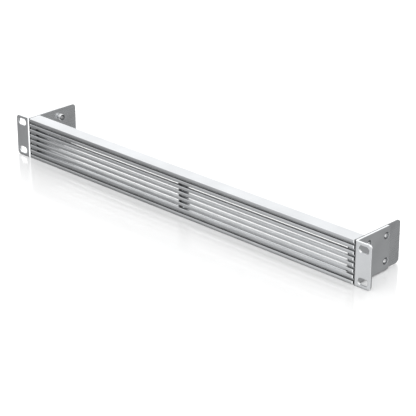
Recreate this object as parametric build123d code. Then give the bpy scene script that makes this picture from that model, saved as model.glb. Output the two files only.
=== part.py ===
from build123d import *
import os

# Vented 19 inch blanking panel, one rack unit high, in millimetres.
# X runs across the rack, +Y runs back into the rack, +Z is up.
# The origin is at the middle of the outer box, level with the lowest face.
# Left and right are as seen from the front of the rack.

# Overall sizes
PANEL_WIDTH = 482.6
PANEL_HEIGHT = 44.2
OVERALL_DEPTH = 65.2

# Ribbed front grille, an extruded channel with milled slots
GRILLE_DEPTH = 14.5
GRILLE_FLANGE = 2.0
RIB_COUNT = 8
BLIND_GROOVES_PER_EDGE = 1
SLOT_HEIGHT = 2.4
GROOVE_DEPTH = 2.0
BAR_DEPTH = 3.3
WEB_DEPTH = 4.8
RIB_EDGE_RADIUS = 0.8
GRILLE_END_RADIUS = 1.0
SLOT_END_MARGIN = 7.1

# Moulded vent frame behind the grille
FRAME_DEPTH = 8.7
FRAME_CLEARANCE = 0.15
END_BLOCK_WIDTH = 10.3
WINDOW_EDGE = 8.2
WINDOW_CORNER_RADIUS = 4.0
POST_WIDTH = 5.1
FRAME_FACE = 2.0
FRAME_WALL = 1.8
CELLS_PER_BAY = 2

# Screws that hold the frame to the grille
FRAME_SCREW_COLUMNS = 5
FRAME_SCREW_INSET = 15.1
FRAME_SCREW_BOSS = 9.0
FRAME_SCREW_DIAMETER = 2.5
FRAME_SCREW_HEAD = 4.6
FRAME_SCREW_HEAD_HEIGHT = 1.7
FRAME_SCREW_HEAD_CHAMFER = 0.6
FRAME_SCREW_GRIP = 4.0
FRAME_SCREW_BITE = 2.0
COUNTERBORE_CLEARANCE = 0.25

# Sheet side arms
ARM_THICKNESS = 1.15
ARM_SETBACK = 2.8
SIDE_LIFT = 0.8
ARM_CORNER_RADIUS = 4.0

# Flush screws that hold the arms to the ends of the frame
ARM_SCREW_PITCH = 24.0
ARM_SCREW_DIAMETER = 2.7
ARM_SCREW_LENGTH = 7.5

# Rack ears, folded from thicker sheet
EAR_THICKNESS = 2.0
EAR_FACE_WIDTH = 19.05
EAR_BEND_RADIUS = 1.5
EAR_FLANGE_DEPTH = 48.0
EAR_CORNER_RADIUS = 3.8
EAR_REAR_RADIUS = 2.0
EAR_SLOT_LENGTH = 12.0
EAR_SLOT_WIDTH = 7.3
EAR_HOLE_INSET = 8.75
RACK_HOLE_PITCH = 31.75

# Countersunk screws and clinch nuts that join each ear to its arm
EAR_SCREW_PITCH_UP = 25.4
EAR_SCREW_REAR_INSET = 5.1
EAR_SCREW_DIAMETER = 4.0
EAR_SCREW_HEAD = 7.3
EAR_SCREW_LENGTH = 6.6
NUT_DIAMETER = 6.8
NUT_HEIGHT = 4.2
NUT_SHANK_DIAMETER = 5.4

# Fits
HOLE_CLEARANCE = 0.15
THREAD_CLEARANCE = 0.05
NUT_TO_FRAME = 1.0

# Places worked out from the sizes above
FRONT = -OVERALL_DEPTH / 2
REAR = FRONT + OVERALL_DEPTH
MID_HEIGHT = PANEL_HEIGHT / 2
EAR_TIP = PANEL_WIDTH / 2
ARM_OUTER = EAR_TIP - EAR_FACE_WIDTH
EAR_OUTER = ARM_OUTER + EAR_THICKNESS
GRILLE_END = ARM_OUTER - ARM_THICKNESS
GROOVE_COUNT = RIB_COUNT - 1
RIB_HEIGHT = (PANEL_HEIGHT - GROOVE_COUNT * SLOT_HEIGHT) / RIB_COUNT
RIB_PITCH = RIB_HEIGHT + SLOT_HEIGHT
SLOT_HALF_LENGTH = GRILLE_END - SLOT_END_MARGIN
POST_HALF = POST_WIDTH / 2
FRAME_FRONT = FRONT + WEB_DEPTH
FRAME_REAR = FRAME_FRONT + FRAME_DEPTH
FRAME_BOTTOM = GRILLE_FLANGE + FRAME_CLEARANCE
FRAME_TOP = PANEL_HEIGHT - FRAME_BOTTOM
WINDOW_HEIGHT = PANEL_HEIGHT - 2 * WINDOW_EDGE
WINDOW_END = GRILLE_END - END_BLOCK_WIDTH
RAIL_HEIGHT = WINDOW_EDGE - FRAME_BOTTOM
FRAME_SCREW_SPAN = 2 * (GRILLE_END - FRAME_SCREW_INSET)
RACK_HOLE_PLACE = EAR_TIP - EAR_HOLE_INSET
SIDE_MIDDLE = (SIDE_LIFT + PANEL_HEIGHT) / 2
FRAME_MIDDLE = (FRAME_FRONT + FRAME_REAR) / 2


def block(x0, x1, y0, y1, z0, z1):
    """A box between two corners."""
    centre = Pos((x0 + x1) / 2, (y0 + y1) / 2, (z0 + z1) / 2)
    return centre * Box(x1 - x0, y1 - y0, z1 - z0)


def upright_slab(outline, y0, y1):
    """An outline drawn in X and Z, made solid between two depths."""
    placed = Pos(0, y1, 0) * (Plane.XZ * outline)
    return extrude(placed, amount=y1 - y0)


def rod(start, end, radius, far_radius=None):
    """A round bar or cone between two points on one axis line."""
    start_point = Vector(*start)
    axis = Vector(*end) - start_point
    base = Plane(origin=start_point, z_dir=axis)
    if far_radius is None:
        return extrude(base * Circle(radius), amount=axis.length)
    far = Plane(origin=Vector(*end), z_dir=axis)
    return loft([base * Circle(radius), far * Circle(far_radius)])


def groove_heights():
    """The middle height of each groove, from the top one down."""
    first = PANEL_HEIGHT - RIB_HEIGHT - SLOT_HEIGHT / 2
    return [first - RIB_PITCH * index for index in range(GROOVE_COUNT)]


def frame_screw_columns():
    """The places along X of the frame screws."""
    step = FRAME_SCREW_SPAN / (FRAME_SCREW_COLUMNS - 1)
    return [-FRAME_SCREW_SPAN / 2 + step * index for index in range(FRAME_SCREW_COLUMNS)]


def frame_screw_rows():
    """The heights of the lower and upper rows of frame screws."""
    lower = FRAME_BOTTOM + RAIL_HEIGHT / 2
    return {"lower": lower, "upper": PANEL_HEIGHT - lower}


def arm_screw_rows():
    """The heights of the two screws at each end of the frame."""
    half = ARM_SCREW_PITCH / 2
    return {"lower": MID_HEIGHT - half, "upper": MID_HEIGHT + half}


def ear_screw_places():
    """The depth and height of the four screws on each side."""
    front = FRAME_REAR + NUT_TO_FRAME + NUT_DIAMETER / 2
    rear = FRONT + EAR_FLANGE_DEPTH - EAR_SCREW_REAR_INSET
    depths = {"front": front, "rear": rear}
    half = EAR_SCREW_PITCH_UP / 2
    heights = {"lower": SIDE_MIDDLE - half, "upper": SIDE_MIDDLE + half}
    places = {}
    for level, height in heights.items():
        for station, depth in depths.items():
            places[level + "_" + station] = (depth, height)
    return places


def grille_profile():
    """The cross-section of the grille, with Y drawn along the first axis."""
    middle = (FRONT + GRILLE_DEPTH / 2, MID_HEIGHT)
    outer = Pos(*middle) * Rectangle(GRILLE_DEPTH, PANEL_HEIGHT)
    hollow_depth = GRILLE_DEPTH - WEB_DEPTH
    hollow_height = PANEL_HEIGHT - 2 * GRILLE_FLANGE
    hollow_middle = (FRONT + WEB_DEPTH + hollow_depth / 2, MID_HEIGHT)
    profile = outer - Pos(*hollow_middle) * Rectangle(hollow_depth, hollow_height)
    for height in groove_heights():
        groove = Rectangle(GROOVE_DEPTH, SLOT_HEIGHT)
        profile -= Pos(FRONT + GROOVE_DEPTH / 2, height) * groove
    corners = [v for v in profile.vertices() if abs(v.X - FRONT) < RIB_EDGE_RADIUS / 2]
    return fillet(corners, RIB_EDGE_RADIUS)


def rounded_ends():
    """The plan view of the grille, which rounds its two front end edges."""
    plan = Pos(0, FRONT + GRILLE_DEPTH / 2) * Rectangle(2 * GRILLE_END, GRILLE_DEPTH)
    corners = plan.vertices().sort_by(Axis.Y)[:2]
    return extrude(fillet(corners, GRILLE_END_RADIUS), amount=PANEL_HEIGHT)


def window_outline(inner, outer):
    """One window outline between two distances from the middle, on the +X side."""
    shape = RectangleRounded(outer - inner, WINDOW_HEIGHT, WINDOW_CORNER_RADIUS)
    return Pos((inner + outer) / 2, MID_HEIGHT) * shape


def front_grille():
    """The ribbed channel with blind grooves at its edges and open slots between."""
    section = Plane.YZ * grille_profile()
    body = extrude(section, amount=GRILLE_END, both=True)
    body = body & rounded_ends()
    heights = groove_heights()
    for height in heights[BLIND_GROOVES_PER_EDGE:GROOVE_COUNT - BLIND_GROOVES_PER_EDGE]:
        opening = Pos(0, height) * SlotOverall(2 * SLOT_HALF_LENGTH, SLOT_HEIGHT)
        body -= upright_slab(opening, FRONT, FRAME_FRONT)
    relief = window_outline(POST_HALF, SLOT_HALF_LENGTH)
    relief_cut = upright_slab(relief, FRONT + BAR_DEPTH, FRAME_FRONT)
    body -= relief_cut
    body -= mirror(relief_cut, Plane.YZ)
    pilot_radius = FRAME_SCREW_DIAMETER / 2 + THREAD_CLEARANCE
    pilot_end = FRAME_FRONT - FRAME_SCREW_BITE - THREAD_CLEARANCE
    for height in frame_screw_rows().values():
        for place in frame_screw_columns():
            body -= rod((place, FRAME_FRONT, height), (place, pilot_end, height), pilot_radius)
    return body


def rail_cells():
    """The open cells moulded into the back of the two long rails."""
    columns = frame_screw_columns()
    half_cell_height = RAIL_HEIGHT / 2 - FRAME_WALL
    floor = FRAME_FRONT + FRAME_FACE
    cells = []
    for left, right in zip(columns[:-1], columns[1:]):
        start = left + FRAME_SCREW_BOSS / 2
        bay = right - left - FRAME_SCREW_BOSS
        cell = (bay - (CELLS_PER_BAY - 1) * FRAME_WALL) / CELLS_PER_BAY
        for index in range(CELLS_PER_BAY):
            x0 = start + index * (cell + FRAME_WALL)
            for height in frame_screw_rows().values():
                z0 = height - half_cell_height
                z1 = height + half_cell_height
                cells.append(block(x0, x0 + cell, floor, FRAME_REAR, z0, z1))
    return cells


def end_cell():
    """The open cell in the back of the +X end of the frame."""
    half = ARM_SCREW_PITCH / 2 - ARM_SCREW_DIAMETER / 2 - FRAME_WALL
    x0 = WINDOW_END + FRAME_WALL
    x1 = GRILLE_END - FRAME_WALL
    return block(x0, x1, FRAME_FRONT + FRAME_FACE, FRAME_REAR, MID_HEIGHT - half, MID_HEIGHT + half)


def vent_frame():
    """The moulded frame with two long windows, a centre post and hollow rails."""
    body = block(-GRILLE_END, GRILLE_END, FRAME_FRONT, FRAME_REAR, FRAME_BOTTOM, FRAME_TOP)
    window = upright_slab(window_outline(POST_HALF, WINDOW_END), FRAME_FRONT, FRAME_REAR)
    body -= window
    body -= mirror(window, Plane.YZ)
    body -= rail_cells()
    body -= end_cell()
    body -= mirror(end_cell(), Plane.YZ)
    hole = FRAME_SCREW_DIAMETER / 2 + HOLE_CLEARANCE
    counterbore = FRAME_SCREW_HEAD / 2 + COUNTERBORE_CLEARANCE
    seat = FRAME_FRONT + FRAME_SCREW_GRIP
    for height in frame_screw_rows().values():
        for place in frame_screw_columns():
            body -= rod((place, FRAME_FRONT, height), (place, FRAME_REAR, height), hole)
            body -= rod((place, seat, height), (place, FRAME_REAR, height), counterbore)
    pilot = ARM_SCREW_DIAMETER / 2 + THREAD_CLEARANCE
    tip = ARM_OUTER - ARM_SCREW_LENGTH - THREAD_CLEARANCE
    for height in arm_screw_rows().values():
        for side in (-1, 1):
            start = (side * GRILLE_END, FRAME_MIDDLE, height)
            body -= rod(start, (side * tip, FRAME_MIDDLE, height), pilot)
    return body


def frame_screw(place, height):
    """A round-headed screw through the frame into the back of the grille."""
    seat = FRAME_FRONT + FRAME_SCREW_GRIP
    crown = seat + FRAME_SCREW_HEAD_HEIGHT
    head = rod((place, seat, height), (place, crown, height), FRAME_SCREW_HEAD / 2)
    rim = head.edges().filter_by(GeomType.CIRCLE).sort_by(Axis.Y)[-1]
    head = chamfer(rim, FRAME_SCREW_HEAD_CHAMFER)
    shank_end = (place, FRAME_FRONT - FRAME_SCREW_BITE, height)
    return head + rod((place, seat, height), shank_end, FRAME_SCREW_DIAMETER / 2)


def countersunk_screw(outer_face, depth, height, shank, head, length):
    """A flush screw that points in along -X from the outer face of a +X side."""
    cone = (head - shank) / 2
    outer = (outer_face, depth, height)
    neck = (outer_face - cone, depth, height)
    tip = (outer_face - length, depth, height)
    return rod(outer, neck, head / 2, shank / 2) + rod(neck, tip, shank / 2)


def countersink(outer_face, depth, height, shank, head, clearance):
    """The cone-shaped seat of a flush screw, a clearance wider than its neck."""
    cone = (head - shank) / 2
    outer = (outer_face, depth, height)
    neck = (outer_face - cone, depth, height)
    return rod(outer, neck, head / 2, shank / 2) + rod(outer, neck, shank / 2 + clearance)


def arm_screw_head():
    """The head diameter that makes an arm screw flush in its sheet."""
    return ARM_SCREW_DIAMETER + 2 * ARM_THICKNESS


def side_arm():
    """The +X side arm, a flat plate with rounded rear corners."""
    front = FRONT + ARM_SETBACK
    plate = block(GRILLE_END, ARM_OUTER, front, REAR, SIDE_LIFT, PANEL_HEIGHT)
    corners = plate.edges().filter_by(Axis.X).group_by(Axis.Y)[-1]
    plate = fillet(corners, ARM_CORNER_RADIUS)
    for depth, height in ear_screw_places().values():
        inner = (GRILLE_END, depth, height)
        plate -= rod(inner, (ARM_OUTER, depth, height), NUT_SHANK_DIAMETER / 2)
    for height in arm_screw_rows().values():
        head = arm_screw_head()
        seat = countersink(ARM_OUTER, FRAME_MIDDLE, height, ARM_SCREW_DIAMETER, head, THREAD_CLEARANCE)
        plate -= seat
    return plate


def arm_screw(height):
    """A flush screw through the +X arm into the end of the frame."""
    sizes = (ARM_SCREW_DIAMETER, arm_screw_head(), ARM_SCREW_LENGTH)
    return countersunk_screw(ARM_OUTER, FRAME_MIDDLE, height, *sizes)


def rack_ear():
    """The +X rack ear, an angle with two mounting slots and four screw seats."""
    corner = (ARM_OUTER, FRONT)
    outline = Polyline(
        corner,
        (EAR_TIP, FRONT),
        (EAR_TIP, FRONT + EAR_THICKNESS),
        (EAR_OUTER, FRONT + EAR_THICKNESS),
        (EAR_OUTER, FRONT + EAR_FLANGE_DEPTH),
        (ARM_OUTER, FRONT + EAR_FLANGE_DEPTH),
        close=True,
    )
    plan = make_face(outline)
    bend = plan.vertices().sort_by_distance((ARM_OUTER, FRONT, 0))[0]
    plan = fillet(bend, EAR_BEND_RADIUS)
    ear = extrude(plan, amount=PANEL_HEIGHT)
    behind = FRONT + EAR_THICKNESS
    ear -= block(ARM_OUTER, EAR_OUTER, behind, FRONT + EAR_FLANGE_DEPTH, 0, SIDE_LIFT)
    tip_edges = ear.edges().filter_by(Axis.Y).group_by(Axis.X)[-1]
    ear = fillet(tip_edges, EAR_CORNER_RADIUS)
    rear_edges = ear.edges().filter_by(Axis.X).group_by(Axis.Y)[-1]
    ear = fillet(rear_edges, EAR_REAR_RADIUS)
    for side in (-1, 1):
        height = MID_HEIGHT + side * RACK_HOLE_PITCH / 2
        slot = Pos(RACK_HOLE_PLACE, height) * SlotOverall(EAR_SLOT_LENGTH, EAR_SLOT_WIDTH)
        ear -= upright_slab(slot, FRONT, behind)
    for depth, height in ear_screw_places().values():
        sizes = (EAR_SCREW_DIAMETER, EAR_SCREW_HEAD, HOLE_CLEARANCE)
        ear -= countersink(EAR_OUTER, depth, height, *sizes)
        hole = EAR_SCREW_DIAMETER / 2 + HOLE_CLEARANCE
        ear -= rod((EAR_OUTER, depth, height), (ARM_OUTER, depth, height), hole)
    return ear


def ear_screw(depth, height):
    """A flush screw through the +X ear and arm into its clinch nut."""
    sizes = (EAR_SCREW_DIAMETER, EAR_SCREW_HEAD, EAR_SCREW_LENGTH)
    return countersunk_screw(EAR_OUTER, depth, height, *sizes)


def clinch_nut(depth, height):
    """A round nut pressed into the +X arm, with its body on the inner face."""
    inner = GRILLE_END - NUT_HEIGHT
    body = rod((GRILLE_END, depth, height), (inner, depth, height), NUT_DIAMETER / 2)
    shank_start = (GRILLE_END, depth, height)
    shank_end = (ARM_OUTER, depth, height)
    nut = body + rod(shank_start, shank_end, NUT_SHANK_DIAMETER / 2)
    thread = EAR_SCREW_DIAMETER / 2 + THREAD_CLEARANCE
    return nut - rod(shank_end, (inner, depth, height), thread)


def both_sides(name, make):
    """A +X piece and its mirror image, under the names of their sides."""
    piece = make()
    return {name.replace("SIDE", "right"): piece, name.replace("SIDE", "left"): mirror(piece, Plane.YZ)}


def build_pieces():
    """Every piece of the panel under its node name."""
    pieces = {"front_grille": front_grille(), "vent_frame": vent_frame()}
    for level, height in frame_screw_rows().items():
        for index, place in enumerate(frame_screw_columns()):
            name = "frame_screw_" + level + "_" + str(index + 1)
            pieces[name] = frame_screw(place, height)
    pieces.update(both_sides("side_arm_SIDE", side_arm))
    pieces.update(both_sides("rack_ear_SIDE", rack_ear))
    for level, height in arm_screw_rows().items():
        pieces.update(both_sides("arm_screw_SIDE_" + level, lambda: arm_screw(height)))
    for station, (depth, height) in ear_screw_places().items():
        pieces.update(both_sides("ear_screw_SIDE_" + station, lambda: ear_screw(depth, height)))
        pieces.update(both_sides("clinch_nut_SIDE_" + station, lambda: clinch_nut(depth, height)))
    return pieces


os.makedirs("parts", exist_ok=True)
for node, piece in build_pieces().items():
    export_step(piece, "parts/" + node + ".step")
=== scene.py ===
import logging
import math
from dataclasses import dataclass, field
from enum import Enum

import bmesh
import bpy
from mathutils import Matrix, Vector


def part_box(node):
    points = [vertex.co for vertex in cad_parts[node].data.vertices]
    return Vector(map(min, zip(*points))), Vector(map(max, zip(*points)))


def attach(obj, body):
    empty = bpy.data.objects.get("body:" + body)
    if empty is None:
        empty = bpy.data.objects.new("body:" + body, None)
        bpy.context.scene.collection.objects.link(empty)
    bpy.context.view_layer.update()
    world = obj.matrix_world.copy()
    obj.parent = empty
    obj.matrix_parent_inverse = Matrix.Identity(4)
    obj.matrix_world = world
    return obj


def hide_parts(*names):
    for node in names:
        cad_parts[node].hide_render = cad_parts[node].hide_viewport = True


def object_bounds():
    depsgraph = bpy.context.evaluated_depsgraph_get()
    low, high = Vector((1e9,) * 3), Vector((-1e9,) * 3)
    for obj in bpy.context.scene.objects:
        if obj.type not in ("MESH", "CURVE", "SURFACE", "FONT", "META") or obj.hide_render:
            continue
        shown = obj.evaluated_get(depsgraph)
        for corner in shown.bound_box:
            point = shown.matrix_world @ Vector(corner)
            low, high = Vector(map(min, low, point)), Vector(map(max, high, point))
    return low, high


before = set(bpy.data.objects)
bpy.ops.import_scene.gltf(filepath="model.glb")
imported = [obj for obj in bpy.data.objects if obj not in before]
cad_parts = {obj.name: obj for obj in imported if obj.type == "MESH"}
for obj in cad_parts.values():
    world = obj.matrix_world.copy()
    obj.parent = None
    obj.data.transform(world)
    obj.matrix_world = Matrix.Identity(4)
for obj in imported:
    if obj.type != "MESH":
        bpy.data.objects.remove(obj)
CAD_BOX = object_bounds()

LOG = logging.getLogger("vented_panel")

Tree = bpy.types.NodeTree
Socket = bpy.types.NodeSocket
Material = bpy.types.Material
Pair = tuple[float, float]
Profile = list[Pair]

# One millimetre in the scene, which is in metres.
MM = 0.001
# Turned pieces have this many steps round.
TURN_STEPS = 40
# Points that lie closer than this many metres become one.
MERGE_WITHIN = 1e-7
# Edges that bend by less than this many degrees are shaded smooth.
SMOOTH_ANGLE = 35.0

# Numbers of the mix node's sockets: the share, the colour below, the colour on top and the result.
MIX_SHARE = 0
MIX_UNDER = 6
MIX_OVER = 7
MIX_RESULT = 2

# How many rays the bevel and the hollow shade look along.
BEVEL_RAYS = 4
HOLLOW_RAYS = 6
# Octaves and harshness of the two noise patterns.
GRAIN_NOISE = (3.0, 0.6)
PATCH_NOISE = (2.0, 0.5)
# How strongly the grain tilts the surface, and how much of it shows in the colour.
GRAIN_STRENGTH = 0.5
GRAIN_IN_COLOUR = 0.35
# Where each ramp of a finish starts and ends. The first two are the grain's value that
# swings the roughness, and the mottle's that goes from the dark to the light colour.
GRAIN_SPAN = (0.3, 0.7)
MOTTLE_SPAN = (0.45, 0.9)
# The X part of the normal, from a sheet's rim to its broad face.
RIM_SPAN = (0.3, 0.8)
# Openness to the room, from a deep groove to an open face.
OPEN_SPAN = (0.25, 0.85)
# Agreement of the true and the softened normal, from a face to its edge.
EDGE_SPAN = (0.995, 0.85)
# The normal's largest part, from a face that lies along an axis to a slant.
SLANT_SPAN = (0.995, 0.94)
# The normal's smallest part, from a surface that slants all ways to one that runs straight.
STRAIGHT_SPAN = (0.15, 0.05)
# Colour of the painted highlight on edges, bends and roundings.
PAINTED_HIGHLIGHT = "#F2F3F4"

# Length and thickness of a driver blade's tip, as shares of its top's.
TIP_SPAN = 0.45
TIP_WIDTH = 0.7
# The two blades of the cross, in degrees about the screw's axis.
BLADE_TURNS = (45.0, 135.0)


def linear_rgba(code: str) -> tuple[float, float, float, float]:
    """Turns an sRGB hex colour into the linear colour that a shader takes.

    Args:
        code: Six hex digits after a hash sign.

    Returns:
        Red, green, blue and an alpha of one.
    """
    channels = [int(code[start:start + 2], 16) / 255 for start in (1, 3, 5)]
    linear = [c / 12.92 if c <= 0.04045 else ((c + 0.055) / 1.055) ** 2.4 for c in channels]
    return (linear[0], linear[1], linear[2], 1.0)


def grey(level: float) -> tuple[float, float, float, float]:
    """Makes a linear grey of one brightness."""
    return (level, level, level, 1.0)


def add_node(
    tree: Tree,
    kind: str,
    settings: dict | None = None,
    links: dict | None = None,
) -> bpy.types.Node:
    """Adds one node with its settings and links.

    Args:
        tree: The node tree that takes the node.
        kind: Blender's type name of the node.
        settings: Values by the name of a property, or by the name or number of an input.
        links: Output sockets by the name or number of the input that they feed.

    Returns:
        The new node.
    """
    node = tree.nodes.new(kind)
    for name, value in (settings or {}).items():
        if isinstance(name, str) and hasattr(node, name):
            setattr(node, name, value)
        else:
            node.inputs[name].default_value = value
    for name, output in (links or {}).items():
        tree.links.new(output, node.inputs[name])
    return node


def maths(tree: Tree, operation: str, first: Socket, second: Socket) -> Socket:
    """Combines two values by one operation of the math node."""
    return add_node(tree, "ShaderNodeMath", {"operation": operation}, {0: first, 1: second}).outputs[0]


def extreme(tree: Tree, operation: str, parts: bpy.types.NodeOutputs) -> Socket:
    """Finds the largest or smallest of a vector's three parts."""
    pair = maths(tree, operation, parts["X"], parts["Y"])
    return maths(tree, operation, pair, parts["Z"])


def noise(tree: Tree, place: Socket, width_mm: float, pattern: Pair) -> Socket:
    """Makes a noise pattern.

    Args:
        tree: The material's node tree.
        place: The coordinates that it lies on.
        width_mm: Width of one spot in millimetres.
        pattern: Its octaves and harshness.

    Returns:
        The pattern's value at each point.
    """
    detail, harshness = pattern
    settings = {"Scale": 1 / (width_mm * MM), "Detail": detail, "Roughness": harshness}
    return add_node(tree, "ShaderNodeTexNoise", settings, {"Vector": place}).outputs["Fac"]


def ramp(
    tree: Tree,
    value: Socket,
    span: Pair,
    result: Pair = (0.0, 1.0),
    kind: str = "LINEAR",
) -> Socket:
    """Maps a value from one range to another and holds it at the ends.

    Args:
        tree: The node tree.
        value: What the ramp follows.
        span: The values where it starts and ends.
        result: What it gives there.
        kind: Blender's name of the ramp's shape.

    Returns:
        The mapped value.
    """
    settings = {
        "interpolation_type": kind,
        "From Min": span[0],
        "From Max": span[1],
        "To Min": result[0],
        "To Max": result[1],
    }
    return add_node(tree, "ShaderNodeMapRange", settings, {"Value": value}).outputs["Result"]


def mixed(
    tree: Tree,
    share: Socket | float,
    under: Socket | tuple,
    over: Socket | tuple,
    kind: str = "MIX",
) -> Socket:
    """Lays one colour over another.

    Args:
        tree: The node tree.
        share: How much of the upper colour shows.
        under: The colour below.
        over: The colour on top.
        kind: Blender's name of the way in which they mix.

    Returns:
        The mixed colour.
    """
    settings = {"data_type": "RGBA", "blend_type": kind}
    links = {}
    for number, value in ((MIX_SHARE, share), (MIX_UNDER, under), (MIX_OVER, over)):
        group = links if isinstance(value, Socket) else settings
        group[number] = value
    return add_node(tree, "ShaderNodeMix", settings, links).outputs[MIX_RESULT]


class Side(Enum):
    """The two ends of the panel, as seen from the front of the rack."""

    RIGHT = 1
    LEFT = -1


class Level(Enum):
    """The two rows of fasteners."""

    LOWER = "lower"
    UPPER = "upper"


class Station(Enum):
    """The two places along each ear where a screw stands."""

    FRONT = "front"
    REAR = "rear"


class Grain(Enum):
    """How a surface was worked, as the stretch of its marks along X, Y and Z."""

    DRAWN_ALONG_X = (0.03, 1.0, 1.0)
    BRUSHED_ALONG_Y = (1.0, 0.04, 1.0)
    EVEN = (1.0, 1.0, 1.0)


@dataclass(frozen=True)
class Finish:
    """One finish: what the piece is made of and how its surface was made, with painted shade and
    painted highlights laid into its colour.

    Attributes:
        name: The finish in plain words, used as the material's name.
        light: Colour of the lighter patches.
        dark: Colour of the darker patches.
        metallic: One for bare or plated metal and nought for plastic.
        roughness: Middle roughness of the surface.
        roughness_swing: How far the roughness wanders each way.
        grain: Direction of the tool marks.
        grain_mm: Width of one tool mark or grain in millimetres.
        grain_depth_mm: Height of that grain in millimetres.
        patch_mm: Width of the broad cloudy patches in millimetres.
        edge_mm: Radius that softens the light on a cut edge in millimetres.
        edge_highlight: How much lighter a painted highlight makes an edge, from nought to one.
        slant_highlight: How much lighter a painted highlight makes the bends and long roundings.
        painted_shade_reach_mm: How far a hollow reaches for its painted shade, in millimetres.
        painted_hollow_shade: How much darker the painted shade in a hollow is.
        painted_rim_shade: How much painted shade darkens the rim faces of a sheet.
    """

    name: str
    light: str
    dark: str
    metallic: float
    roughness: float
    roughness_swing: float
    grain: Grain
    grain_mm: float
    grain_depth_mm: float
    patch_mm: float
    edge_mm: float
    edge_highlight: float
    slant_highlight: float = 0.0
    painted_shade_reach_mm: float = 3.0
    painted_hollow_shade: float = 0.85
    painted_rim_shade: float = 0.0

    def material(self) -> Material:
        """Builds the finish as a node material.

        Returns:
            The material, with its pattern on Object coordinates.
        """
        material = bpy.data.materials.new(self.name)
        material.use_nodes = True
        tree = material.node_tree
        tree.nodes.clear()
        place = add_node(tree, "ShaderNodeTexCoord").outputs["Object"]
        stretch = add_node(tree, "ShaderNodeMapping", {"Scale": self.grain.value}, {"Vector": place})
        grain = noise(tree, stretch.outputs["Vector"], self.grain_mm, GRAIN_NOISE)
        patches = noise(tree, place, self.patch_mm, PATCH_NOISE)
        soft_edge = add_node(
            tree,
            "ShaderNodeBevel",
            {"samples": BEVEL_RAYS, "Radius": self.edge_mm * MM},
        ).outputs["Normal"]
        bump = add_node(
            tree,
            "ShaderNodeBump",
            {"Strength": GRAIN_STRENGTH, "Distance": self.grain_depth_mm * MM},
            {"Height": grain, "Normal": soft_edge},
        )
        roughness = ramp(
            tree,
            grain,
            GRAIN_SPAN,
            (self.roughness - self.roughness_swing, self.roughness + self.roughness_swing),
        )
        shader = add_node(
            tree,
            "ShaderNodeBsdfPrincipled",
            {"Metallic": self.metallic},
            {
                "Base Color": self.colour(tree, grain, patches, soft_edge),
                "Roughness": roughness,
                "Normal": bump.outputs["Normal"],
            },
        )
        add_node(tree, "ShaderNodeOutputMaterial", None, {"Surface": shader.outputs["BSDF"]})
        return material

    def colour(self, tree: Tree, grain: Socket, patches: Socket, soft_edge: Socket) -> Socket:
        """Colours the surface, with its patches, painted shade on sheet rims and in hollows, and
        painted highlights on edges and bends.

        Args:
            tree: The material's node tree.
            grain: The fine pattern.
            patches: The broad pattern.
            soft_edge: The normal that turns smoothly round each edge.

        Returns:
            The surface's colour.
        """
        mottle = add_node(
            tree,
            "ShaderNodeMath",
            {"operation": "MULTIPLY_ADD", 1: GRAIN_IN_COLOUR},
            {0: grain, 2: patches},
        ).outputs[0]
        spread = ramp(tree, mottle, MOTTLE_SPAN)
        body = mixed(tree, spread, linear_rgba(self.dark), linear_rgba(self.light))
        facing = add_node(tree, "ShaderNodeNewGeometry").outputs["Normal"]
        size = add_node(tree, "ShaderNodeVectorMath", {"operation": "ABSOLUTE"}, {0: facing}).outputs[0]
        parts = add_node(tree, "ShaderNodeSeparateXYZ", None, {0: size}).outputs
        # Painted shade: faces that do not look along X, such as a sheet's rim, are darkened.
        rim = ramp(tree, parts["X"], RIM_SPAN, (1.0 - self.painted_rim_shade, 1.0))
        rim_shaded = mixed(tree, 1.0, body, rim, "MULTIPLY")
        hollow_shaded = self.paint_hollow_shade(tree, rim_shaded)
        turn = add_node(
            tree,
            "ShaderNodeVectorMath",
            {"operation": "DOT_PRODUCT"},
            {0: facing, 1: soft_edge},
        ).outputs["Value"]
        return self.paint_edge_highlights(tree, hollow_shaded, turn, parts)

    def paint_hollow_shade(self, tree: Tree, colour: Socket) -> Socket:
        """Paints shade into grooves and corners: the colour grows darker the more of the room is
        hidden.

        Args:
            tree: The material's node tree.
            colour: The colour of the open faces.

        Returns:
            The colour with painted shade in the hollows.
        """
        # Painted shade: ambient occlusion darkens the colour in grooves and corners.
        openness = add_node(
            tree,
            "ShaderNodeAmbientOcclusion",
            {"samples": HOLLOW_RAYS, "Distance": self.painted_shade_reach_mm * MM},
        ).outputs["AO"]
        share = ramp(tree, openness, OPEN_SPAN, (1.0 - self.painted_hollow_shade, 1.0))
        return mixed(tree, 1.0, colour, share, "MULTIPLY")

    def paint_edge_highlights(
        self,
        tree: Tree,
        colour: Socket,
        turn: Socket,
        parts: bpy.types.NodeOutputs,
    ) -> Socket:
        """Paints highlights into the colour on edges, bends and straight roundings.

        Args:
            tree: The material's node tree.
            colour: The colour away from the edges.
            turn: How well the true and the softened normal agree.
            parts: The sizes of the normal's parts along X, Y and Z.

        Returns:
            The colour with its painted highlights.
        """
        # Painted highlight: edges, bends and long roundings are lightened towards near white.
        edge_highlight_share = ramp(tree, turn, EDGE_SPAN, (0.0, self.edge_highlight))
        most = extreme(tree, "MAXIMUM", parts)
        least = extreme(tree, "MINIMUM", parts)
        rounded = ramp(tree, most, SLANT_SPAN, (0.0, self.slant_highlight))
        straight = ramp(tree, least, STRAIGHT_SPAN)
        slant = maths(tree, "MULTIPLY", rounded, straight)
        bright = maths(tree, "MAXIMUM", edge_highlight_share, slant)
        return mixed(tree, bright, colour, linear_rgba(PAINTED_HIGHLIGHT))


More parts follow.
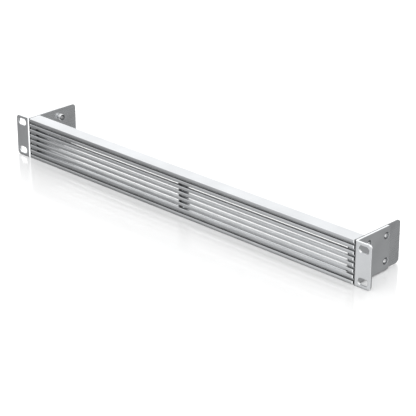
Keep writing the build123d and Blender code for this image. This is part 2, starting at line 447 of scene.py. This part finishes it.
# Extruded aluminium, bead blasted and clear anodised. The fine blast grain breaks the
# reflections into a soft even grey, and faint die lines run along the ribs.
SATIN_ALUMINIUM = Finish(
    name="blasted_anodised_aluminium",
    light="#BCBEC0",
    dark="#B2B4B6",
    metallic=1.0,
    roughness=0.34,
    roughness_swing=0.04,
    grain=Grain.DRAWN_ALONG_X,
    grain_mm=1.1,
    grain_depth_mm=0.006,
    patch_mm=38.0,
    edge_mm=0.25,
    # Painted highlights on the edges and roundings of the ribs; the grooves take the default painted
    # shade.
    edge_highlight=0.2,
    slant_highlight=0.4,
)

# Moulded grey polycarbonate blend with a spark-eroded mould texture: a dull, even
# mid grey that stays quiet behind the bright ribs.
MOULDED_FRAME = Finish(
    name="moulded_grey_plastic",
    light="#85878A",
    dark="#7B7D80",
    metallic=0.0,
    roughness=0.55,
    roughness_swing=0.05,
    grain=Grain.EVEN,
    grain_mm=0.9,
    grain_depth_mm=0.02,
    patch_mm=45.0,
    edge_mm=0.3,
    edge_highlight=0.05,
    painted_hollow_shade=0.4,
)

# Zinc plated sheet steel, blued clear: a cool sheen with cloudy patches from the bath,
# smooth enough to mirror the nuts faintly, and painted shade on its rim faces.
PLATED_STEEL = Finish(
    name="zinc_plated_sheet_steel",
    light="#C5C7C9",
    dark="#B9BBBD",
    metallic=1.0,
    roughness=0.27,
    roughness_swing=0.03,
    grain=Grain.BRUSHED_ALONG_Y,
    grain_mm=0.8,
    grain_depth_mm=0.004,
    patch_mm=16.0,
    edge_mm=0.15,
    edge_highlight=0.2,
    painted_rim_shade=0.7,
)

# Folded ear sheet, linished along its length before it was plated: fine streaks, and
# painted highlights that turn the cut edges and the bend almost white.
EAR_STEEL = Finish(
    name="linished_ear_sheet",
    light="#CDCFD1",
    dark="#C2C4C6",
    metallic=1.0,
    roughness=0.32,
    roughness_swing=0.03,
    grain=Grain.BRUSHED_ALONG_Y,
    grain_mm=0.9,
    grain_depth_mm=0.004,
    patch_mm=24.0,
    edge_mm=0.45,
    edge_highlight=0.6,
    slant_highlight=0.8,
)

# Bright zinc plated screw steel, cold headed: smoother and brighter than the sheet round it.
SCREW_STEEL = Finish(
    name="bright_zinc_screw_steel",
    light="#ECEDEE",
    dark="#DCDDDF",
    metallic=1.0,
    roughness=0.26,
    roughness_swing=0.06,
    grain=Grain.EVEN,
    grain_mm=0.7,
    grain_depth_mm=0.01,
    patch_mm=3.0,
    edge_mm=0.1,
    edge_highlight=0.4,
)

# Zinc plated steel painted dark as shade: a dark ring round the bright middle of each ear
# screw, and a dark free end on each nut.
PAINTED_SHADE_RIM = Finish(
    name="dull_zinc_screw_rim",
    light="#6A6C6E",
    dark="#5C5E60",
    metallic=1.0,
    roughness=0.36,
    roughness_swing=0.05,
    grain=Grain.EVEN,
    grain_mm=0.7,
    grain_depth_mm=0.01,
    patch_mm=3.0,
    edge_mm=0.1,
    edge_highlight=0.0,
    painted_hollow_shade=0.25,
)

# Turned nut steel under a matt white zinc coat: its flank spreads the light from overhead
# and stands out pale against the arm.
NUT_STEEL = Finish(
    name="turned_zinc_nut_steel",
    light="#F8F8F8",
    dark="#F0F1F2",
    metallic=1.0,
    roughness=0.55,
    roughness_swing=0.06,
    grain=Grain.EVEN,
    grain_mm=0.6,
    grain_depth_mm=0.01,
    patch_mm=4.0,
    edge_mm=0.1,
    edge_highlight=0.3,
    painted_shade_reach_mm=1.0,
    painted_hollow_shade=0.2,
)


def to_object(mesh: bmesh.types.BMesh, name: str) -> bpy.types.Object:
    """Turns a bmesh into an object at the origin.

    Args:
        mesh: The bmesh, which is freed.
        name: Name of the new object.

    Returns:
        The new object, shaded smooth but for its sharp edges.
    """
    for face in mesh.faces:
        face.smooth = True
    for edge in mesh.edges:
        edge.smooth = edge.calc_face_angle(math.pi) < math.radians(SMOOTH_ANGLE)
    data = bpy.data.meshes.new(name)
    mesh.to_mesh(data)
    mesh.free()
    thing = bpy.data.objects.new(name, data)
    bpy.context.scene.collection.objects.link(thing)
    return thing


def turned(profile: Profile, name: str) -> bpy.types.Object:
    """Spins a profile round the Z axis into a closed body.

    Args:
        profile: Radius and height pairs in metres, from the axis and back to the axis,
            or round a bore and back to its start.
        name: Name of the new object.

    Returns:
        The turned body.
    """
    mesh = bmesh.new()
    points = [mesh.verts.new((radius, 0.0, height)) for radius, height in profile]
    edges = [mesh.edges.new(pair) for pair in zip(points[:-1], points[1:])]
    bmesh.ops.spin(
        mesh,
        geom=points + edges,
        cent=(0.0, 0.0, 0.0),
        axis=(0.0, 0.0, 1.0),
        dvec=(0.0, 0.0, 0.0),
        angle=math.tau,
        steps=TURN_STEPS,
        use_merge=True,
        use_duplicate=False,
    )
    bmesh.ops.remove_doubles(mesh, verts=mesh.verts, dist=MERGE_WITHIN)
    bmesh.ops.recalc_face_normals(mesh, faces=mesh.faces)
    return to_object(mesh, name)


def driver_blade(span: float, width: float, depth: float, turn: float) -> bpy.types.Object:
    """Makes one blade of a cross-shaped driver bit, narrower at its tip.

    Args:
        span: Length of the blade across the head.
        width: Thickness of the blade.
        depth: How deep it reaches below the head's face.
        turn: Angle of the blade about the screw's axis, in degrees.

    Returns:
        A scratch object that cuts the recess.
    """
    mesh = bmesh.new()
    bmesh.ops.create_cube(mesh, size=1.0)
    for vert in mesh.verts:
        low = vert.co.z < 0
        vert.co.x *= span * (TIP_SPAN if low else 1.0)
        vert.co.y *= width * (TIP_WIDTH if low else 1.0)
        vert.co.z = -depth if low else depth
    mesh.transform(Matrix.Rotation(math.radians(turn), 4, "Z"))
    return to_object(mesh, "driver_blade")


def cut_recess(body: bpy.types.Object, span: float, width: float, depth: float) -> None:
    """Cuts a cross recess into the top of a screw that stands on the Z axis.

    Args:
        body: The screw, with the face of its head at nought.
        span: Length of the recess across the head.
        width: Width of each arm of the recess.
        depth: Depth of the recess.
    """
    for turn in BLADE_TURNS:
        blade = driver_blade(span, width, depth, turn)
        cut = body.modifiers.new("recess", "BOOLEAN")
        cut.operation = "DIFFERENCE"
        cut.solver = "EXACT"
        cut.object = blade
        bpy.context.view_layer.update()
        ready = body.evaluated_get(bpy.context.evaluated_depsgraph_get())
        carved = bpy.data.meshes.new_from_object(ready)
        body.modifiers.clear()
        body.data = carved
        bpy.data.objects.remove(blade)


def settle(thing: bpy.types.Object, node: str, slot: str, *materials: Material) -> None:
    """Gives a detailed piece its finishes and lets it stand for its CAD node.

    Args:
        thing: The detailed piece, with its faces already marked by finish.
        node: The CAD node that it replaces.
        slot: The record's material slot; not used.
        materials: The finishes, in the order of the marks.
    """
    for material in materials:
        thing.data.materials.append(material)
    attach(thing, "root")
    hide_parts(node)
    LOG.info("made %s with %d faces", thing.name, len(thing.data.polygons))


@dataclass
class SideFasteners:
    """The sunk screws and clinch nuts that join each ear to its arm.

    Attributes:
        head: Diameter of the countersunk head.
        corner: Size of the small broken corners of the head.
        rim_sink: How far the head's rim lies under the ear's face.
        rim_edge: Depth of the broken outer edge of the rim, and how far the cone's end lies deeper.
        rim_wall: Depth where the countersink's cone begins.
        button: Diameter of the oval middle of the head, which holds the recess.
        button_sink: How far the top of that oval lies under the ear's face.
        button_rise: Height of the oval.
        button_steps: Steps from the oval's middle to its edge.
        dish: Depth of the dished rim round the middle.
        dish_floor: Width of the lowest part of the dish.
        recess_span: Length of the cross recess, as a share of the oval.
        recess_width: Width of the recess's arms, as a share of the oval.
        recess_depth: Depth of the cross recess.
        shank: Outer diameter of the thread.
        root: Diameter at the bottom of the thread.
        pitch: Distance from one thread to the next.
        thread_gap: Plain length between the cone and the first thread.
        thread_end: Plain length between the last thread and the tip.
        thread_root: Where a thread's bottom lies, as a share of the pitch.
        thread_crest: Where a thread's crest starts and ends, as shares of the pitch.
        length: Length of the screw with its head.
        tip: Height and width of the broken edge at the tip.
        nut: Diameter of the nut's body.
        nut_height: How far the nut stands off the arm.
        nut_edge: Reach of the blunt outer edge up the flank, in at its corner and along the end.
        nut_shade_band: Height of the band at the free end that is painted dark as shade.
        nut_collar: Diameter of the collar pressed into the arm.
        undercut: Depth of the groove below the collar.
        undercut_heights: Where the groove's slope starts and ends above the arm's face.
        nut_bore: Diameter of the nut's thread.
        bore_edge: Height and width of the broken edge of the bore.
        arm_sheet: Thickness of the arm.
        upward: Least rise of the normal of a face that looks out of the head.
    """

    head: float = 7.3 * MM
    corner: float = 0.1 * MM
    rim_sink: float = 0.03 * MM
    rim_edge: float = 0.12 * MM
    rim_wall: float = 0.25 * MM
    button: float = 4.0 * MM
    button_sink: float = 0.1 * MM
    button_rise: float = 0.55 * MM
    button_steps: int = 6
    dish: float = 1.15 * MM
    dish_floor: float = 0.3 * MM
    recess_span: float = 0.85
    recess_width: float = 0.2
    recess_depth: float = 1.6 * MM
    shank: float = 4.0 * MM
    root: float = 3.3 * MM
    pitch: float = 0.7 * MM
    thread_gap: float = 0.4 * MM
    thread_end: float = 0.5 * MM
    thread_root: float = 0.3
    thread_crest: Pair = (0.65, 0.75)
    length: float = 6.6 * MM
    tip: float = 0.35 * MM
    nut: float = 6.8 * MM
    nut_height: float = 4.2 * MM
    nut_edge: tuple[float, float, float] = (0.55 * MM, 0.18 * MM, 0.5 * MM)
    nut_shade_band: float = 0.3 * MM
    nut_collar: float = 5.4 * MM
    undercut: float = 0.2 * MM
    undercut_heights: Pair = (0.1 * MM, 0.25 * MM)
    nut_bore: float = 4.06 * MM
    bore_edge: float = 0.35 * MM
    arm_sheet: float = 1.15 * MM
    upward: float = 0.05

    def head_profile(self) -> Profile:
        """Draws half the head, from the top of its oval out and down to the cone's small end.

        Returns:
            Radius and height pairs, with the ear's face at nought.
        """
        middle = self.button / 2
        rim = self.head / 2
        points = []
        for step in range(self.button_steps + 1):
            share = step / self.button_steps
            points.append((middle * share, -self.button_sink - self.button_rise * share * share))
        points += [
            (middle + self.corner, -self.dish + self.corner),
            (middle + self.dish_floor, -self.dish),
            (rim - self.corner, -self.rim_sink),
            (rim, -self.rim_edge),
            (rim, -self.rim_wall),
            (self.shank / 2, self.cone_end() - self.rim_edge),
        ]
        return points

    def cone_end(self) -> float:
        """Gives the height where a right-angled cone from the ear's face would meet the shank."""
        return -(self.head - self.shank) / 2

    def thread_profile(self) -> Profile:
        """Draws half the thread and the tip below the cone.

        Returns:
            Radius and height pairs that go on from the head's.
        """
        crest = self.shank / 2
        root = self.root / 2
        points = []
        height = self.cone_end() - self.thread_gap
        while height - self.pitch > -self.length + self.thread_end:
            points.append((root, height - self.pitch * self.thread_root))
            points += [(crest, height - self.pitch * share) for share in self.thread_crest]
            height -= self.pitch
        points += [
            (root, -self.length + self.tip),
            (root - self.tip, -self.length),
            (0.0, -self.length),
        ]
        return points

    def nut_profile(self) -> Profile:
        """Draws half the nut, with the arm's inner face at nought and its body below.

        Returns:
            Radius and height pairs, round the bore and back to their start.
        """
        bore = self.nut_bore / 2
        outer = self.nut / 2
        collar = self.nut_collar / 2
        neck = collar - self.undercut
        low, high = self.undercut_heights
        on_flank, corner, on_end = self.nut_edge
        end = -self.nut_height
        return [
            (bore, self.arm_sheet),
            (collar, self.arm_sheet),
            (collar, high),
            (neck, low),
            (neck, 0.0),
            (outer, 0.0),
            (outer, end + on_flank),
            (outer - corner, end + corner),
            (outer - on_end, end),
            (bore + self.bore_edge, end),
            (bore, end + self.bore_edge),
            (bore, self.arm_sheet),
        ]

    def place(self, node: str, side: Side, sink: float) -> Matrix:
        """Finds where a fastener goes, with its axis pointing out of the ear.

        Args:
            node: Name of its CAD node.
            side: The end of the panel that it is on.
            sink: How far its zero height lies inside the node's outer face.

        Returns:
            The turn and shift of its mesh.
        """
        low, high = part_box(node)
        centre = (low + high) / 2
        outer = high.x if side is Side.RIGHT else low.x
        turn = Matrix.Rotation(side.value * math.pi / 2, 4, "Y")
        return Matrix.Translation((outer - side.value * sink, centre.y, centre.z)) @ turn

    def screw(self, node: str, side: Side, finish: Material, shade_rim_finish: Material) -> None:
        """Makes one detailed ear screw in place of its CAD node.

        Args:
            node: Name of the CAD node.
            side: The end of the panel that it is on.
            finish: The screw's finish.
            shade_rim_finish: The painted shade finish of its dished rim.
        """
        body = turned(self.head_profile() + self.thread_profile(), node + ".detail")
        # The dished rim takes the second finish, a painted shade ring.
        for face in body.data.polygons:
            radius = math.hypot(face.center.x, face.center.y)
            in_ring = self.button / 2 < radius < self.head / 2 - self.corner
            if in_ring and face.normal.z > self.upward and face.center.z > -self.dish:
                face.material_index = 1
        span = self.button * self.recess_span
        cut_recess(body, span, self.button * self.recess_width, self.recess_depth)
        body.data.transform(self.place(node, side, 0.0))
        settle(body, node, "screw_steel", finish, shade_rim_finish)

    def clinch_nut(self, node: str, side: Side, finish: Material, shaded_end_finish: Material) -> None:
        """Makes one detailed clinch nut in place of its CAD node.

        Args:
            node: Name of the CAD node.
            side: The end of the panel that it is on.
            finish: The finish of the nut's flank.
            shaded_end_finish: The painted shade finish of its free end.
        """
        body = turned(self.nut_profile(), node + ".detail")
        # The free end takes the second finish, painted shade.
        for face in body.data.polygons:
            if face.center.z < -self.nut_height + self.nut_shade_band:
                face.material_index = 1
        body.data.transform(self.place(node, side, self.arm_sheet))
        settle(body, node, "nut_steel", finish, shaded_end_finish)

    def build(self, screw_finish: Material, shade_rim_finish: Material, nut_finish: Material) -> None:
        """Makes all eight screws and their nuts.

        Args:
            screw_finish: The screws' finish.
            shade_rim_finish: The painted shade finish of the dished rims and of the nuts' free ends.
            nut_finish: The nuts' finish.
        """
        for side in Side:
            for level in Level:
                for station in Station:
                    ending = f"{side.name.lower()}_{level.value}_{station.value}"
                    self.screw("ear_screw_" + ending, side, screw_finish, shade_rim_finish)
                    self.clinch_nut("clinch_nut_" + ending, side, nut_finish, shade_rim_finish)


@dataclass
class FrameScrews:
    """The ten round-headed screws that hold the vent frame to the grille.

    Attributes:
        columns: How many screws stand in each row.
        head: Diameter of the domed head.
        head_height: Height of the head.
        dome: How much of that height is domed, as a share.
        dome_steps: Steps from the dome's top to its edge.
        shank: Diameter of the shank.
        tip: Height of the tapered tip.
        tip_share: Diameter of the tip's end, as a share of the shank's.
        recess_span: Length of the cross recess, as a share of the head.
        recess_width: Width of the recess's arms, as a share of the head.
        recess_depth: Depth of the cross recess.
    """

    columns: int = 5
    head: float = 4.6 * MM
    head_height: float = 1.7 * MM
    dome: float = 0.8
    dome_steps: int = 8
    shank: float = 2.5 * MM
    tip: float = 0.5 * MM
    tip_share: float = 0.5
    recess_span: float = 0.6
    recess_width: float = 0.15
    recess_depth: float = 1.0 * MM

    def profile(self, length: float) -> Profile:
        """Draws half the screw with the top of its dome at nought.

        Args:
            length: Length of the screw with its head.

        Returns:
            Radius and height pairs.
        """
        points = []
        for step in range(self.dome_steps + 1):
            angle = math.pi / 2 * step / self.dome_steps
            height = -self.head_height * self.dome * (1 - math.cos(angle))
            points.append((self.head / 2 * math.sin(angle), height))
        points += [
            (self.head / 2, -self.head_height),
            (self.shank / 2, -self.head_height),
            (self.shank / 2, -length + self.tip),
            (self.shank / 2 * self.tip_share, -length),
            (0.0, -length),
        ]
        return points

    def build(self, finish: Material) -> None:
        """Makes every frame screw in place of its CAD node.

        Args:
            finish: The screws' finish.
        """
        turn = Matrix.Rotation(-math.pi / 2, 4, "X")
        for level in Level:
            for column in range(1, self.columns + 1):
                node = f"frame_screw_{level.value}_{column}"
                low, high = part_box(node)
                centre = (low + high) / 2
                body = turned(self.profile(high.y - low.y), node + ".detail")
                span = self.head * self.recess_span
                cut_recess(body, span, self.head * self.recess_width, self.recess_depth)
                body.data.transform(Matrix.Translation((centre.x, high.y, centre.z)) @ turn)
                settle(body, node, "screw_steel", finish)


@dataclass
class PanelBody:
    """The pieces that keep their CAD shapes and get real finishes.

    Attributes:
        slots: The slot of each kind of piece, by the start of its node's name.
    """

    slots: dict[str, str] = field(default_factory=lambda: {
        "front_grille": "satin_aluminium",
        "vent_frame": "moulded_frame",
        "side_arm": "plated_steel",
        "rack_ear": "brushed_ear_steel",
        "arm_screw": "screw_steel",
    })

    def dress(self, finishes: dict[str, Material]) -> None:
        """Gives each CAD node that stays the finish of its slot.

        Args:
            finishes: The finishes by slot name.
        """
        for kind, slot in self.slots.items():
            for name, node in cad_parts.items():
                if name.startswith(kind):
                    for place in node.material_slots:
                        place.material = finishes[slot]
                    LOG.info("dressed %s in %s", name, slot)


@dataclass(frozen=True)
class SoftLamp:
    """A large soft lamp far away, as a fading patch of the surroundings.

    Attributes:
        toward: Direction from the panel to the lamp.
        reach: Nearness to that direction where its light starts, and where it is full.
        brightness: Its full brightness.
    """

    toward: tuple[float, float, float]
    reach: Pair
    brightness: float

    def share(self, tree: Tree, way: Socket) -> Socket:
        """Says how much of the lamp is seen in each direction.

        Args:
            tree: The world's node tree.
            way: The direction that is looked in.

        Returns:
            The share from nought to one.
        """
        nearness = add_node(
            tree,
            "ShaderNodeVectorMath",
            {"operation": "DOT_PRODUCT", 1: self.toward},
            {0: way},
        ).outputs["Value"]
        return ramp(tree, nearness, self.reach, kind="SMOOTHSTEP")


@dataclass
class Studio:
    """The camera, the pale floor and the soft light.

    Attributes:
        camera_place: Where the camera stands.
        camera_target: The point that it looks at.
        lens_mm: Focal length of the lens.
        sensor_mm: Width of the sensor.
        lens_shift: Shift of the lens across and up, as a share of the picture's width.
        sight: Nearest and furthest distance that the camera sees.
        floor_half: Half the width of the floor.
        floor_cells: How many faces the floor has each way.
        floor_gap: How far the floor lies below the panel.
        floor_colour: Colour of the floor.
        floor_roughness: Roughness of its sheen.
        floor_ior: Index of refraction of its sheen.
        front_light: Brightness of the room low in front.
        rear_light: Brightness of the room low behind.
        rear_span: How far back, as a part of the direction, the light turns from front to rear.
        top_light: Brightness of the room overhead.
        top_span: How far up, as a part of the direction, the light turns from low to top.
        glow: The lamp behind on the left, which whitens the top.
        key: The lamp low in front on the right, which lights the right half more than the left.
    """

    camera_place: Vector = field(default_factory=lambda: Vector((1.04143, -1.06955, 0.64804)))
    camera_target: Vector = field(default_factory=lambda: Vector((0.043181, -0.034386, 0.022)))
    lens_mm: float = 141.59
    sensor_mm: float = 36.0
    lens_shift: Pair = (0.0003, -0.0006)
    sight: Pair = (0.01, 50.0)
    floor_half: float = 6.0
    floor_cells: int = 4
    floor_gap: float = 0.05 * MM
    floor_colour: str = "#EDEDED"
    floor_roughness: float = 0.12
    floor_ior: float = 2.0
    front_light: float = 0.19
    rear_light: float = 0.46
    rear_span: Pair = (-0.2, 0.5)
    top_light: float = 1.4
    top_span: Pair = (0.0, 0.85)
    glow: SoftLamp = SoftLamp((-0.62, 0.66, 0.42), (0.55, 0.95), 1.82)
    key: SoftLamp = SoftLamp((0.565, -0.807, -0.17), (0.14, 0.44), 1.6)

    def add_camera(self) -> None:
        """Stands the camera at the photograph's viewing angle."""
        lens = bpy.data.cameras.new("studio_camera")
        lens.lens = self.lens_mm
        lens.sensor_width = self.sensor_mm
        lens.shift_x, lens.shift_y = self.lens_shift
        lens.clip_start, lens.clip_end = self.sight
        camera = bpy.data.objects.new("studio_camera", lens)
        camera.location = self.camera_place
        sight_line = self.camera_target - self.camera_place
        camera.rotation_euler = sight_line.to_track_quat("-Z", "Y").to_euler()
        bpy.context.scene.collection.objects.link(camera)
        bpy.context.scene.camera = camera

    def add_floor(self) -> None:
        """Lays a wide pale sheet with a soft sheen just under the panel."""
        height = CAD_BOX[0][2] - self.floor_gap
        mesh = bmesh.new()
        cells = self.floor_cells
        bmesh.ops.create_grid(mesh, x_segments=cells, y_segments=cells, size=self.floor_half)
        mesh.transform(Matrix.Translation((0.0, 0.0, height)))
        floor = to_object(mesh, "studio_floor")
        material = bpy.data.materials.new("pale_studio_floor")
        material.use_nodes = True
        shader = material.node_tree.nodes["Principled BSDF"]
        shader.inputs["Base Color"].default_value = linear_rgba(self.floor_colour)
        shader.inputs["Roughness"].default_value = self.floor_roughness
        shader.inputs["IOR"].default_value = self.floor_ior
        floor.data.materials.append(material)
        floor.visible_glossy = False

    def add_surroundings(self) -> None:
        """Makes the room: bright above and behind, and dimmer in front on the left."""
        world = bpy.data.worlds.new("soft_studio")
        world.use_nodes = True
        tree = world.node_tree
        tree.nodes.clear()
        way = add_node(tree, "ShaderNodeTexCoord").outputs["Generated"]
        parts = add_node(tree, "ShaderNodeSeparateXYZ", None, {0: way}).outputs
        behind = ramp(tree, parts["Y"], self.rear_span, kind="SMOOTHSTEP")
        overhead = ramp(tree, parts["Z"], self.top_span, kind="SMOOTHSTEP")
        low_light = mixed(tree, behind, grey(self.front_light), grey(self.rear_light))
        light = mixed(tree, overhead, low_light, grey(self.top_light))
        for lamp in (self.glow, self.key):
            light = mixed(tree, lamp.share(tree, way), light, grey(lamp.brightness))
        back = add_node(tree, "ShaderNodeBackground", {"Strength": 1.0}, {"Color": light})
        add_node(tree, "ShaderNodeOutputWorld", None, {"Surface": back.outputs["Background"]})
        bpy.context.scene.world = world

    def build(self) -> None:
        """Sets up the whole studio."""
        self.add_camera()
        self.add_floor()
        self.add_surroundings()
        scene = bpy.context.scene
        scene.view_settings.view_transform = "Standard"
        scene.view_settings.look = "None"
        LOG.info("set up the studio")


def main() -> None:
    """Builds the studio, the large pieces and the fasteners."""
    logging.basicConfig(level=logging.INFO, format="%(message)s")
    Studio().build()
    screw_finish = SCREW_STEEL.material()
    PanelBody().dress({
        "satin_aluminium": SATIN_ALUMINIUM.material(),
        "moulded_frame": MOULDED_FRAME.material(),
        "plated_steel": PLATED_STEEL.material(),
        "brushed_ear_steel": EAR_STEEL.material(),
        "screw_steel": screw_finish,
    })
    SideFasteners().build(screw_finish, PAINTED_SHADE_RIM.material(), NUT_STEEL.material())
    FrameScrews().build(screw_finish)


if __name__ == "__main__":
    main()
